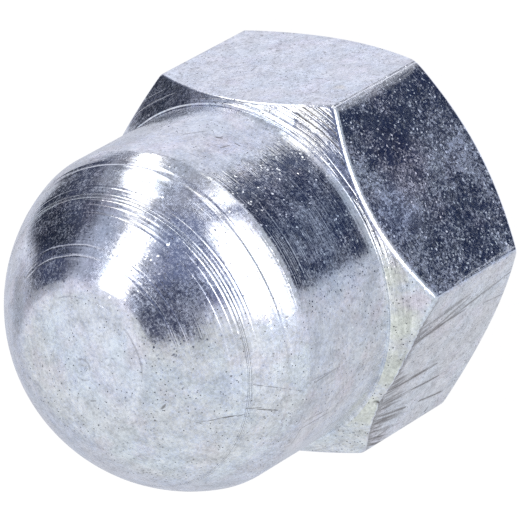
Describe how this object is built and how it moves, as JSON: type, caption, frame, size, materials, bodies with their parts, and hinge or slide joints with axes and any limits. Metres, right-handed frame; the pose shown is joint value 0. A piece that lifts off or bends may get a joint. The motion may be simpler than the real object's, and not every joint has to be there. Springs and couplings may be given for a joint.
{
  "type": "cap nut",
  "caption": "Hexagon cap nut with a round collar and a ball-shaped dome that covers the end of a screw thread.",
  "frame": {"origin": "centre of the bearing face", "axes": "+Z along the thread axis, from the bearing face towards the dome; two corners of the hexagon lie on the X axis and two flats face along Y"},
  "size_m": [0.0114, 0.0098, 0.0119],
  "materials": {
    "zinc_plate": "turned steel with bright zinc plating, bluish silver, with fine turning lines and handling marks"
  },
  "bodies": {
    "root": {"cap_nut": "zinc_plate"}
  },
  "joints": []
}
